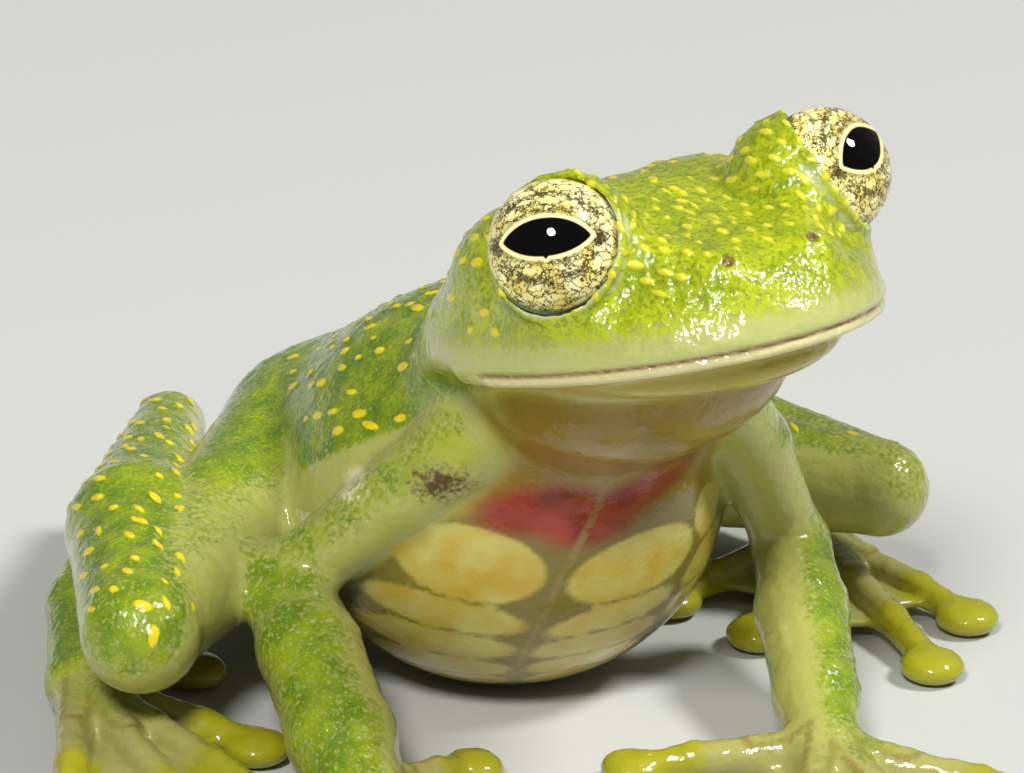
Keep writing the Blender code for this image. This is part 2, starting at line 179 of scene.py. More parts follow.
# Where the limbs bend, for the frog's right side and its left side
joints = {
    "right": {
        "shoulder": (-2.9, -5.0, 8.2), "armMiddle": (-4.6, -3.6, 6.0), "elbow": (-6.7, -1.75, 3.5),
        "wrist": (-8.25, -8.35, 0.95), "hip": (-1.9, 6.0, 3.8), "thighMiddle": (-6.2, 1.9, 3.4),
        "knee": (-11.0, -2.7, 3.3), "calf": (-8.5, 2.26, 3.6), "heel": (-4.0, 9.2, 3.3),
        "tarsusMiddle": (-9.5, 3.47, 1.5), "ankle": (-11.0, 0.37, 0.95),
        "fingers": [(-4.5, -7.1), (-5.4, -12.3), (-8.9, -15.0), (-12.6, -12.2)],
        "toes": [(-7.5, 1.0), (-8.45, -3.9), (-9.7, -7.3), (-12.0, -8.4), (-14.2, -5.3)],
        "arm": (1.15, 0.95, 0.85), "forearm": (0.92, 1.2, 1.25, 0.9), "thigh": (2.0, 1.85, 1.3),
        "shank": (1.42, 1.68, 0.9), "tarsus": (0.8, 0.72, 0.78),
    },
    "left": {
        "shoulder": (2.5, -5.3, 8.4), "armMiddle": (4.2, -4.9, 6.2), "elbow": (5.85, -4.4, 3.2),
        "wrist": (2.75, -10.8, 0.95), "hip": (1.9, 6.0, 3.8), "thighMiddle": (5.6, 1.9, 3.4),
        "knee": (9.95, -2.17, 3.2), "calf": (7.8, 2.8, 3.4), "heel": (4.1, 9.2, 3.3),
        "tarsusMiddle": (9.3, 3.2, 1.5), "ankle": (10.0, 0.9, 0.95),
        "fingers": [(-1.35, -8.75), (-0.4, -14.4), (2.6, -17.4), (6.5, -14.9)],
        "toes": [(5.03, -0.27), (5.82, -3.14), (6.3, -5.4), (8.59, -6.79), (11.19, -4.55)],
        "arm": (1.15, 0.95, 0.85), "forearm": (0.9, 1.1, 1.0, 0.8), "thigh": (2.0, 1.7, 1.15),
        "shank": (1.2, 1.5, 0.9), "tarsus": (0.8, 0.75, 0.75),
    },
}


def between(start, end, share):
    return Vector(start).lerp(Vector(end), share)


def knuckle(root, tip, reach):
    root = Vector(root)
    along = Vector((tip[0] - root.x, tip[1] - root.y, 0))
    point = root + along.normalized() * min(reach, 0.35 * along.length)
    point.z = body["knuckleHeight"]
    return point


def digitMasses(start, tip, pad):
    tip = Vector((*tip, body["padHeight"]))
    along = (tip - start).normalized()
    middle = between(start, tip, 0.5)
    middle.z = max(middle.z, body["digitHeight"])
    slim, thick = body["digitRadius"], body["knuckleRadius"]
    turn = Matrix.Rotation(atan2(along.y, along.x), 3, "Z")
    radii = [thick - 0.04, (thick + slim) / 2 - 0.02, slim]
    masses = limb([start, middle, tip - along * 0.55], radii, 0.2)
    masses.append(egg(tip - along * 0.1, (pad, pad, body["padDepth"]), 0.25, turn))
    return masses


def soleMasses(place, digit):
    root = place[digit["root"]]
    start = Vector(root) - Vector((0, 0, 0.1))
    masses = []
    for tip in place[digit["tips"]]:
        end = knuckle(root, tip, digit["palm"])
        masses += limb([start, end], [0.6, body["knuckleRadius"]], 0.5)
    return masses


def limbPieces(label):
    place = joints[label]
    bend, wrist = Vector(place["elbow"]), Vector(place["wrist"])
    forearm = [bend, between(bend, wrist, 0.33), between(bend, wrist, 0.76), wrist]
    finger, toe = digits
    made = {
        "upper_arm": limb([place["shoulder"], place["armMiddle"], bend], place["arm"]),
        "forearm": limb(forearm, place["forearm"]),
        "hand": soleMasses(place, finger),
        "thigh": limb([place["hip"], place["thighMiddle"], place["knee"]], place["thigh"], 0.5),
        "shank": limb([place["knee"], place["calf"], place["heel"]], place["shank"], 0.5),
        "tarsus": limb([place["heel"], place["tarsusMiddle"], place["ankle"]], place["tarsus"]),
        "foot": soleMasses(place, toe),
    }
    for digit in digits:
        for number, tip in enumerate(place[digit["tips"]], 1):
            start = knuckle(place[digit["root"]], tip, digit["palm"])
            made[digit["name"] + "_" + str(number)] = digitMasses(start, tip, digit["pad"])
    return {name + "_" + label: masses for name, masses in made.items()}


pieces = {"trunk": trunkMasses, "head": headMasses(), "lower_jaw": jawMasses()}
for label in sides:
    pieces.update(limbPieces(label))


# How softly each part of the flesh runs into the rest, in millimetres; the last is the usual reach
joinReach = {
    "head": 1.5, "lower_jaw": 0.5, "upper_arm": 0.7, "thigh": 1.3, "shank": 0.15,
    "tarsus": 0.15, "foot": 0.4, "toe": 0.2, "finger": 0.2, "": 0.6,
}


def reachAround(name):
    return next(reach for part, reach in joinReach.items() if name.startswith(part))


# Distances in millimetres, for points given as three arrays
def smoothMin(a, b, reach):
    near = np.maximum(reach - np.abs(a - b), 0) / max(reach, 1e-6)
    return np.minimum(a, b) - near ** 3 * (reach / 6)


def smoothMax(a, b, reach):
    return -smoothMin(-a, -b, reach)


def smoothStep(low, high, value):
    share = np.clip((value - low) / (high - low), 0, 1)
    return share * share * (3 - 2 * share)


def alongAxes(centre, axes, x, y, z):
    dx, dy, dz = x - centre.x, y - centre.y, z - centre.z
    return [dx * axis.x + dy * axis.y + dz * axis.z for axis in axes]


def massDistance(mass, x, y, z):
    if mass["shape"] == "cone":
        start, axis = mass["start"], mass["end"] - mass["start"]
        px, py, pz = x - start.x, y - start.y, z - start.z
        share = np.clip((px * axis.x + py * axis.y + pz * axis.z) / axis.length_squared, 0, 1)
        px, py, pz = px - share * axis.x, py - share * axis.y, pz - share * axis.z
        first, last = mass["radii"]
        return np.sqrt(px ** 2 + py ** 2 + pz ** 2) - (first + (last - first) * share)
    shrunk = outward = 0
    local = alongAxes(mass["centre"], mass["turn"].col, x, y, z)
    for along, radius in zip(local, mass["radii"]):
        shrunk = shrunk + (along / radius) ** 2
        outward = outward + (along / radius ** 2) ** 2
    shrunk = np.sqrt(shrunk)
    distance = shrunk * (shrunk - 1) / np.maximum(np.sqrt(outward), 1e-4)
    if "plane" in mass:
        height, = alongAxes(mass["plane"], [mass["facing"]], x, y, z)
        distance = smoothMax(distance, -height, mass["planeBlend"])
    return distance


def pieceDistance(masses, x, y, z):
    own = None
    for mass in masses:
        distance = massDistance(mass, x, y, z)
        own = distance if own is None else smoothMin(own, distance, mass["blend"])
    return own


def reachOf(masses, room):
    corners = []
    for mass in masses:
        if mass["shape"] == "cone":
            ends = zip((mass["start"], mass["end"]), mass["radii"])
            spans = [(end, Vector((radius,) * 3)) for end, radius in ends]
        else:
            axes = [axis * radius for axis, radius in zip(mass["turn"].col, mass["radii"])]
            span = Vector([sum(a[i] ** 2 for a in axes) ** 0.5 for i in range(3)])
            spans = [(mass["centre"], span)]
        for centre, span in spans:
            corners += [centre - span, centre + span]
    corners = np.array(corners)
    return corners.min(0) - room, corners.max(0) + room


# The skin: one closed surface over the whole animal
skinShape = {
    "step": 0.095,                # mm between the field's points
    "low": (-16.2, -19.2, -0.6),
    "high": (13.6, 14.2, 17.0),
    "triangles": 196000,
    "ballGap": 0.03,              # wet gap between an eye and its lids
    "lidRadius": 1.61,
    "lidTube": (0.075, 0.05),     # least, and how much more at the front and below
    "lips": (                     # middle, half height, and how far in
        (-0.08, 0.08, 0.06),
        (-0.3, 0.17, -0.05),
    ),
    "mouthEnd": (0.25, -0.35),    # the lips fade in over this, from behind the jaw's middle
    "nostril": (1.15, 3.03, -0.5),
    "nostrilSize": (0.09, 0.15, 0.2),
    "nostrilTurn": 38.0,
    "webHalfDepth": 0.11,
    "webEdge": (0.35, 0.62),      # the free edge's circle: how far out and its radius, in gaps
}


class Lattice:
    def __init__(self, low, high, step):
        self.step = step
        self.low = np.array(low)
        self.count = np.ceil((np.array(high) - self.low) / step).astype(int) + 1
        self.values = np.full(self.count, farAway, np.float32)

    def block(self, low, high):
        first = np.floor((np.asarray(low) - self.low) / self.step).astype(int)
        last = np.ceil((np.asarray(high) - self.low) / self.step).astype(int) + 1
        first, last = np.clip(first, 0, self.count - 1), np.clip(last, 1, self.count)
        cut = tuple(slice(a, b) for a, b in zip(first, last))
        lines = [
            (start + self.step * np.arange(a, b)).astype(np.float32)
            for start, a, b in zip(self.low, first, last)
        ]
        return cut, *np.ix_(*lines)


def webDistance(root, first, second, x, y, z, shape):
    # A thin sheet between two digits whose free edge curves in towards the root
    a, b, c = [np.array(point[:2]) for point in (root, first, second)]
    inside = None
    turn = np.sign((b[0] - a[0]) * (c[1] - a[1]) - (b[1] - a[1]) * (c[0] - a[0]))
    for start, end in ((a, b), (b, c), (c, a)):
        edge = (end - start) / np.linalg.norm(end - start)
        out = ((x - start[0]) * edge[1] - (y - start[1]) * edge[0]) * turn
        inside = out if inside is None else np.maximum(inside, out)
    middle = (b + c) / 2
    span = np.linalg.norm(c - b)
    away = (middle - a) / max(np.linalg.norm(middle - a), 1e-6)
    out, radius = shape["webEdge"]
    bite = middle + away * span * out
    scoop = span * radius - np.sqrt((x - bite[0]) ** 2 + (y - bite[1]) ** 2)
    height = 0.5 * (first[2] + second[2]) - 0.12
    sheet = np.abs(z - height) - shape["webHalfDepth"]
    return smoothMax(smoothMax(inside, scoop, 0.15), sheet, 0.12)


def joinWebs(lattice, shape, place):
    for digit in digits:
        root, tips = place[digit["root"]], place[digit["tips"]]
        for pair in zip(tips[:-1], tips[1:]):
            ends = [
                between(knuckle(root, tip, digit["palm"]), (*tip, 0.5), digit["web"])
                for tip in pair
            ]
            low, high = np.min([root, *ends], 0) - 0.6, np.max([root, *ends], 0) + 0.6
            cut, x, y, z = lattice.block(low, high)
            web = webDistance(root, *ends, x, y, z, shape)
            lattice.values[cut] = smoothMin(lattice.values[cut], web, 0.25)


def cutEye(lattice, shape, side):
    # A thin raised lid round each eye, and the eye's own hollow
    centre, opening = eyeCentre(side), eyeOpening(side)
    front = headTurn @ Vector((0, -0.8, -0.6))
    front = (front - opening * front.dot(opening)).normalized()
    cut, x, y, z = lattice.block(np.array(centre) - 2.6, np.array(centre) + 2.6)
    axes = (front, opening.cross(front), opening)
    ahead, sideways, out = alongAxes(centre, axes, x, y, z)
    ring = np.sqrt(ahead ** 2 + sideways ** 2)
    least, more = shape["lidTube"]
    tube = least + more * smoothStep(-0.4, 0.9, ahead / np.maximum(ring, 1e-4))
    lid = np.sqrt((ring - shape["lidRadius"]) ** 2 + (out - 0.02) ** 2) - tube
    whole = smoothMin(lattice.values[cut], lid, 0.22)
    ball = np.sqrt(ahead ** 2 + sideways ** 2 + out ** 2) - body["eyeRadius"] - shape["ballGap"]
    lattice.values[cut] = smoothMax(whole, -ball, 0.08)


def cutNostril(lattice, shape, side):
    left, forward, up = shape["nostril"]
    turn = headTurn @ Matrix.Rotation(radians(-shape["nostrilTurn"] * side), 3, "Y")
    pit = egg(onHead(left * side, forward, up), shape["nostrilSize"], 0.0, turn)
    cut, x, y, z = lattice.block(*reachOf([pit], 0.6))
    hollow = -massDistance(pit, x, y, z)
    lattice.values[cut] = smoothMax(lattice.values[cut], hollow, 0.12)


def rollLips(lattice, shape):
    # The closed mouth is a groove between the lips, and the lower lip rolls out below it
    cut, x, y, z = lattice.block(*reachOf(pieces["lower_jaw"], 0.8))
    back, up = alongAxes(mouthCentre, mouthTurn.col[1:], x, y, z)
    inFront = smoothStep(*shape["mouthEnd"], back)
    for height, halfHeight, depth in shape["lips"]:
        lattice.values[cut] += depth * inFront * np.exp(-(((up - height) / halfHeight) ** 2))


def skinField(shape):
    lattice = Lattice(shape["low"], shape["high"], shape["step"])
    whole = lattice.values
    for name, masses in pieces.items():
        reach = reachAround(name)
        cut, x, y, z = lattice.block(*reachOf(masses, 1.5 + reach))
        whole[cut] = smoothMin(whole[cut], pieceDistance(masses, x, y, z), reach)
    for label, side in sides.items():
        joinWebs(lattice, shape, joints[label])
        cutEye(lattice, shape, side)
        cutNostril(lattice, shape, side)
    rollLips(lattice, shape)

    # Nothing reaches below the floor
    cut, x, y, z = lattice.block(shape["low"], (*shape["high"][:2], 0.6))
    whole[cut] = np.maximum(whole[cut], -z)
    return lattice


def surfaceOf(lattice):
    grid = openvdb.FloatGrid(background=farAway)
    grid.copyFromArray(lattice.values, tolerance=0.0)
    points, triangles, quads = grid.convertToPolygons(isovalue=0.0, adaptivity=0.0)
    return points * lattice.step + lattice.low, triangles, quads


def meshFrom(name, points, triangles, quads):
    mesh = bpy.data.meshes.new(name)
    sizes = np.concatenate((np.full(len(triangles), 3), np.full(len(quads), 4)))
    corners = np.concatenate((triangles.ravel(), quads.ravel()))
    mesh.vertices.add(len(points))
    mesh.vertices.foreach_set("co", points.astype(np.float32).ravel())
    mesh.loops.add(len(corners))
    mesh.loops.foreach_set("vertex_index", corners.astype(np.int32))
    mesh.polygons.add(len(sizes))
    mesh.polygons.foreach_set("loop_start", (np.cumsum(sizes) - sizes).astype(np.int32))
    mesh.update(calc_edges=True)
    return mesh


def largestPart(obj):
    # Keeps the animal and drops any crumb that a groove or pit has cut off
    bpy.ops.object.select_all(action="DESELECT")
    bpy.context.view_layer.objects.active = obj
    obj.select_set(True)
    bpy.ops.object.mode_set(mode="EDIT")
    bpy.ops.mesh.select_all(action="SELECT")
    bpy.ops.mesh.normals_make_consistent(inside=False)
    bpy.ops.mesh.separate(type="LOOSE")
    bpy.ops.object.mode_set(mode="OBJECT")
    parts = sorted(bpy.context.selected_objects, key=lambda part: len(part.data.vertices))
    for part in parts[:-1]:
        bpy.data.objects.remove(part)
    parts[-1].name = "skin"
    parts[-1].select_set(False)
    return parts[-1]


def addObject(name, data):
    made = bpy.data.objects.new(name, data)
    bpy.context.scene.collection.objects.link(made)
    return made


def pointsOf(mesh):
    both = np.empty((2, len(mesh.vertices) * 3), np.float32)
    mesh.vertices.foreach_get("co", both[0])
    mesh.vertices.foreach_get("normal", both[1])
    return both.reshape(2, -1, 3)


def store(mesh, name, values):
    mark = mesh.attributes.new(name, "FLOAT", "POINT")
    mark.data.foreach_set("value", values.astype(np.float32))


# Yellow flecks, in millimetres: low raised ovals on the back, the head's top and the hind legs
flecks = {
    "back": {
        "seed": 11, "count": 270, "spacing": 0.56, "height": 0.05,
        "length": (0.16, 0.33), "width": (0.08, 0.14),
    },
    "crown": {
        "seed": 5, "count": 150, "spacing": 0.36, "height": 0.06,
        "length": (0.12, 0.22), "width": (0.06, 0.10),
    },
}
mostTried = 40000    # places that are tried for each group


def inAxes(points, centre, turn):
    return [(points - np.array(centre)) @ np.array(axis) for axis in turn.col]


def backHeight(points):
    # How far a point lies above the line where the back's green ends
    ahead, behind = np.maximum(-points[:, 1], 0), np.maximum(points[:, 1] - 2.5, 0)
    return points[:, 2] - 5.3 - 0.66 * ahead + 0.55 * behind


def fleckWeights(points, normals, near):
    # How likely a fleck is at each point: the back's upper side, the crown, the nape and the legs
    up, behind = normals[:, 2], points[:, 1]
    clear = (near["head"] > 0.3) * (near["upper_arm_right"] > 0.4) * (near["upper_arm_left"] > 0.4)
    trunk = (near["trunk"] < 0.15) * clear * smoothStep(0.2, 0.8, backHeight(points))
    trunk = trunk * smoothStep(0.25, 0.6, up + 0.15 * smoothStep(-2.0, -6.0, behind))
    trunk = trunk * smoothStep(7.0, 1.0, behind)
    back, above = inAxes(points, headCentre, headTurn)[1:]
    head = near["head"] < 0.15
    crown = head * smoothStep(0.1, 0.5, up) * smoothStep(-3.2, -1.9, back)
    crown = crown * smoothStep(-1.3, -0.7, above) * smoothStep(1.8, 0.9, back)
    nape = head * smoothStep(0.9, 1.8, back) * smoothStep(0.0, 0.4, up)
    nape = nape * smoothStep(-2.6, -1.9, above)
    shank = (near["shank_right"] < 0.15) * smoothStep(0.25, 0.7, up - 0.2 * normals[:, 0])
    thigh = (near["thigh_left"] < 0.15) * smoothStep(0.6, 0.9, up) * 0.25
    return {"back": np.max([trunk, nape, shank, thigh], axis=0), "crown": crown}


def scatterFlecks(settings, points, normals, weight):
    chance = np.random.default_rng(settings["seed"])
    order = chance.permutation(len(points))
    order = order[chance.random(len(order)) < weight[order]][:mostTried]
    chosen = []
    taken = np.zeros((0, 3))
    for index in order:
        if len(chosen) == settings["count"]:
            break
        gaps = np.sum((taken - points[index]) ** 2, axis=1)
        if len(gaps) and np.min(gaps) < settings["spacing"] ** 2:
            continue
        chosen.append(index)
        taken = np.vstack((taken, points[index]))
    made = []
    for index in chosen:
        normal = normals[index]
        along = np.array((chance.normal(0, 0.18), 1.0, chance.normal(0, 0.1) - 0.3))
        along -= normal * (along @ normal)
        along /= np.linalg.norm(along)
        sizes = [chance.uniform(*settings[size]) for size in ("length", "width")]
        made.append((points[index], (along, np.cross(normal, along), normal), *sizes))
    return made


def fleckDistance(made, points):
    # Signed distance to the nearest fleck's edge, which only points close to it need
    best = np.full(len(points), 3.0, np.float32)
    for place, (along, across, normal), length, width in made:
        offset = points - place.astype(np.float32)
        close = np.flatnonzero(np.abs(offset).max(1) < 0.8)
        part = offset[close]
        share = (part @ along / length) ** 2 + (part @ across / width) ** 2
        share = np.sqrt(share + (part @ normal / length) ** 2)
        best[close] = np.minimum(best[close], (share - 1) * (length + width) / 2)
    return best


lattice = skinField(skinShape)
points, triangles, quads = surfaceOf(lattice)
del lattice
skin = largestPart(addObject("skin", meshFrom("skin", points, triangles, quads)))
print("skin surface", len(skin.data.polygons), "faces")


def nearness(points):
    x, y, z = points.T
    return {name: pieceDistance(masses, x, y, z) for name, masses in pieces.items()}


points, normals = pointsOf(skin.data)
near = nearness(points)
madeFlecks = {}
for name, weight in fleckWeights(points, normals, near).items():
    madeFlecks[name] = scatterFlecks(flecks[name], points, normals, weight)
rise = [
    smoothStep(0.05, -0.1, fleckDistance(made, points)) * flecks[name]["height"]
    for name, made in madeFlecks.items()
]
points = points + normals * np.maximum(*rise)[:, None]
skin.data.vertices.foreach_set("co", points.ravel())
grainShare = smoothStep(-0.5, 0.6, normals[:, 2]) * smoothStep(0.25, 0.8, points[:, 2])
store(skin.data, "grainShare", grainShare)
print("flecks", {name: len(made) for name, made in madeFlecks.items()})


def connect(node, links):
    # An input takes a plain value, a socket, or a node, which gives its first output
    for key, value in links.items():
        if isinstance(value, bpy.types.Node):
            value = value.outputs[0]
        if isinstance(value, bpy.types.NodeSocket):
            node.id_data.links.new(value, node.inputs[key])
        else:
            node.inputs[key].default_value = value


def addNode(tree, kind, links=None, **settings):
    # Shader nodes go by their short names
    node = tree.nodes.new(kind if kind.startswith("Geometry") else "ShaderNode" + kind)
    for name, value in settings.items():
        setattr(node, name, value)
    connect(node, links or {})
    return node


def linear(hexColour):
    parts = [int(hexColour[i:i + 2], 16) / 255 for i in (1, 3, 5)]
    return (*[p / 12.92 if p <= 0.04045 else ((p + 0.055) / 1.055) ** 2.4 for p in parts], 1.0)


def newMaterial(name):
    material = bpy.data.materials.new(name)
    material.use_nodes = True
    return material, material.node_tree.nodes["Principled BSDF"]


def painted(tree, colour, layers, marks, grain, paints, fade):
    # Lays each layer's paint where its mark, broken up by the grain, lies within its limits
    for name, start, full, broken, paint, strength in layers:
        edge = addNode(tree, "Math", {0: grain, 1: broken, 2: marks[name]},
                       operation="MULTIPLY_ADD")
        mask = addNode(tree, "MapRange", {
            "Value": edge, "From Min": start, "From Max": full, "To Max": strength,
        }, interpolation_type=fade)
        colour = addNode(tree, "Mix", {
            0: mask, 6: colour, 7: paints.get(paint) or linear(paint),
        }, data_type="RGBA").outputs[2]
    return colour


# Wet living frog skin, grown in fine granules: the slime gives small sharp highlights, and the
# colour under it is soft because a little light goes through
skinLook = {
    "flank": "#a6a858",
    "green": "#5c7c00",
    "lime": "#a8b400",
    "deep": "#3c5a00",
    "bead": "#bcc524",
    "lobes": ("#bb9f3c", "#bfb662"),
    "hearts": ("#740804", "#9c3428"),
    "grain": 0.12,       # mm across one granule
    "mottle": 0.8,       # mm across a cloud of lighter or darker skin
    "ripple": 0.3,       # mm between the wet skin's wrinkles
    "relief": 0.02,      # mm
    "speckle": 3.2,      # how much the grain breaks up thin pigment
    "heights": {"grain": 1.2, "ripple": 3.2, "bead": -0.8},
}

# Mark, where it starts and is full, how much the grain breaks its edge, paint and strength
skinLayers = [
    ("throat", 0.1, 0.9, 0.2, "#b09c38", 0.85),
    ("chest", 0.2, 1.0, 0.2, "#8a6820", 0.8),
    ("whiteSpot", 0.15, -0.05, 0.2, "#e0d4a8", 0.85),
    # The belly's dark olive, full low down and towards the sides, is painted shade where the belly
    # turns under
    ("belly", 0.2, 0.8, 0.2, "#74692c", 0.9),
    ("lobe", 0.01, -0.12, 0.08, "lobes", 0.94),
    ("heart", 0.22, -0.2, 0.1, "hearts", 0.95),
    ("strand", 0.16, 0.03, 0.06, "#8d7644", 0.75),
    ("feet", 0.3, 0.9, 0.1, "#a09c58", 0.85),
    ("ray", 0.16, 0.0, 0.3, "#7d6a2c", 0.6),
    ("speckled", 0.12, 0.62, 0.0, "greens", 0.95),
    ("limeSpot", 0.2, -0.1, 0.5, "#a0a828", 0.8),
    ("bruise", 0.26, -0.26, 1.2, "#451e18", 0.92),
    ("toes", 0.3, 0.95, 0.3, "#9a9600", 0.9),
    ("lipHeight", 1.1, 0.05, 1.2, "#b4b874", 0.75),
    ("lowerLip", 0.26, 0.19, 0.03, "#cbc290", 0.9),
    # Thin brown line along the closed mouth: painted shade of the groove between the lips
    ("mouthGrooveShade", 0.085, 0.02, 0.03, "#906c44", 0.75),
    ("lidRim", 0.19, 0.11, 0.08, "#d0d6ae", 0.85),
    ("backFleck", 0.02, -0.05, 0.05, "#dfc912", 0.95),
    ("crownFleck", 0.04, -0.03, 0.05, "#d6cc34", 0.92),
    # Brown in and round each nostril pit is painted shade of the hole
    ("nostril", 0.22, 0.12, 0.05, "#6b4420", 0.85),
]


def skinMaterial(look, layers):
    material, shader = newMaterial("wet granular frog skin")
    tree = material.node_tree
    place = addNode(tree, "TexCoord").outputs["Object"]
    mm = addNode(tree, "VectorMath", {0: place, "Scale": 1000.0}, operation="SCALE")
    noises = {
        name: addNode(tree, "TexNoise", {"Vector": mm, "Scale": scale, "Detail": detail})
        for name, scale, detail in (
            ("grain", 0.9 / look["grain"], 3.0), ("mottle", 1 / look["mottle"], 2.5),
            ("tone", 1.1, 1.0), ("ripple", 1 / look["ripple"], 1.0),
        )
    }
    bead = addNode(tree, "TexVoronoi", {"Vector": mm, "Scale": 1 / look["grain"]}, feature="F1")
    named = ["pigment", "headShare"] + [layer[0] for layer in layers if layer[0] != "speckled"]
    marks = {name: addNode(tree, "Attribute", attribute_name=name).outputs["Fac"] for name in named}

    # The head is limier than the back, and both are clouded, peppered and beaded
    clouds, pepper, beadTop, toned = [
        addNode(tree, "MapRange", {
            "Value": source, "From Min": low, "From Max": high, "To Max": most})
        for source, low, high, most in (
            (noises["mottle"], 0.40, 0.64, 0.5), (noises["grain"], 0.52, 0.34, 0.6),
            (bead, 0.34, 0.12, 0.45), (noises["tone"], 0.32, 0.66, 1.0),
        )
    ]
    limier = addNode(tree, "Math", {0: marks["headShare"], 1: 0.6, 2: clouds},
                     operation="MULTIPLY_ADD", use_clamp=True)
    greens = linear(look["green"])
    for share, paint in ((limier, "lime"), (pepper, "deep"), (beadTop, "bead")):
        greens = addNode(tree, "Mix", {0: share, 6: greens, 7: linear(look[paint])},
                         data_type="RGBA").outputs[2]
    paints = {"greens": greens}
    for name in ("lobes", "hearts"):
        first, second = [linear(paint) for paint in look[name]]
        paints[name] = addNode(tree, "Mix", {0: toned, 6: first, 7: second},
                               data_type="RGBA").outputs[2]

    # The grain breaks the pigment up wherever it is thin
    centred = addNode(tree, "Math", {0: noises["grain"], 1: 0.5}, operation="SUBTRACT")
    uneven = addNode(tree, "Math", {0: centred, 1: look["speckle"], 2: 1.0},
                     operation="MULTIPLY_ADD")
    marks["speckled"] = addNode(tree, "Math", {0: marks["pigment"], 1: uneven},
                                operation="MULTIPLY")
    flank = linear(look["flank"])
    colour = painted(tree, flank, layers, marks, centred, paints, "SMOOTHSTEP")

    height = 0.0
    for name, source in (("bead", bead), ("ripple", noises["ripple"]), ("grain", noises["grain"])):
        height = addNode(tree, "Math", {0: source, 1: look["heights"][name], 2: height},
                         operation="MULTIPLY_ADD")
    rough = addNode(tree, "MapRange", {"Value": marks["pigment"], "To Min": 0.3, "To Max": 1.0})
    bump = addNode(tree, "Bump", {
        "Height": height, "Distance": look["relief"] / 1000, "Strength": rough})
    connect(shader, {
        "Base Color": colour, "Normal": bump, "Coat Normal": bump,
        "Roughness": 0.4, "IOR": 1.4, "Specular IOR Level": 0.2, "Subsurface Weight": 0.2,
        "Subsurface Scale": 0.0005, "Subsurface Radius": (1.0, 0.8, 0.3),
        "Coat Weight": 1.0, "Coat Roughness": 0.07, "Coat IOR": 1.42,
    })
    return material


def reliefTree():
    # Raises the skin's coarser grain along its normals
    tree = bpy.data.node_groups.new("skin relief", "GeometryNodeTree")
    sockets = [
        tree.interface.new_socket(label, in_out=way, socket_type="NodeSocket" + kind)
        for label, way, kind in (
            ("Geometry", "INPUT", "Geometry"), ("Grain size", "INPUT", "Float"),
            ("Grain height", "INPUT", "Float"), ("Seed", "INPUT", "Float"),
            ("Finish", "INPUT", "Material"), ("Geometry", "OUTPUT", "Geometry"),
        )
    ]
    given = tree.nodes.new("NodeGroupInput").outputs
    per = addNode(tree, "Math", {0: 1.0, 1: given["Grain size"]}, operation="DIVIDE")
    noise = addNode(tree, "TexNoise", {"Scale": per, "W": given["Seed"], "Detail": 1.5},
                    noise_dimensions="4D")
    height = addNode(tree, "Math", {0: noise, 1: 0.5}, operation="SUBTRACT")
    share = addNode(tree, "GeometryNodeInputNamedAttribute", {"Name": "grainShare"},
                    data_type="FLOAT")
    for factor in (share, given["Grain height"]):
        height = addNode(tree, "Math", {0: height, 1: factor}, operation="MULTIPLY")
    normal = addNode(tree, "GeometryNodeInputNormal")
    lift = addNode(tree, "VectorMath", {0: normal, "Scale": height}, operation="SCALE")
    moved = addNode(tree, "GeometryNodeSetPosition", {
        "Geometry": given["Geometry"], "Offset": lift})
    whole = addNode(tree, "GeometryNodeRealizeInstances", {"Geometry": moved})
    coated = addNode(tree, "GeometryNodeSetMaterial", {
        "Geometry": whole, "Material": given["Finish"]})
    connect(tree.nodes.new("NodeGroupOutput"), {0: coated})
    return tree, [socket.identifier for socket in sockets[1:-1]]


reliefLook = {"Grain size": 0.34, "Grain height": 0.11, "Seed": 4.0}    # sizes in mm
tree, identifiers = reliefTree()
relief = skin.modifiers.new("Relief", "NODES")
relief.node_group = tree
settings = (*reliefLook.values(), skinMaterial(skinLook, skinLayers))
for identifier, value in zip(identifiers, settings):
    relief[identifier] = value
thin = skin.modifiers.new("Thin out", "DECIMATE")
trianglesNow = len(skin.data.loops) - 2 * len(skin.data.polygons)
thin.ratio = min(1.0, skinShape["triangles"] / trianglesNow)
bpy.context.view_layer.update()
evaluated = skin.evaluated_get(bpy.context.evaluated_depsgraph_get())
thinned = bpy.data.meshes.new_from_object(evaluated)
skin.modifiers.clear()
skin.data = thinned
thinned.shade_smooth()
points, normals = pointsOf(thinned)
points[:, 2] = np.maximum(points[:, 2], 0)
thinned.vertices.foreach_set("co", points.ravel())
print("skin thinned to", len(thinned.polygons), "faces")


# Green on each limb's outer side: the way it faces on the left, where it starts and is full, and
# how much there is on the right limb and on the left one
limbGreens = {
    "upper_arm": ((0.35, -0.45, 0.82), 0.2, 0.95, (0.45, 0.45)),
    "forearm": ((0.6, -0.65, 0.5), 0.1, 0.9, (0.62, 0.62)),
    "hand": ((0.3, -0.3, 0.9), 0.6, 1.0, (0.4, 0.4)),
    "thigh": ((0.1, -0.2, 0.97), 0.75, 0.98, (0.35, 0.6)),
    "shank": ((0.5, -0.5, 0.7), 0.1, 0.75, (0.8, 0.5)),
    "tarsus": ((0.8, -0.1, 0.6), 0.2, 0.8, (0.75, 0.75)),
    "foot": ((0.3, 0, 0.95), 0.7, 1.0, (0.35, 0.35)),
}

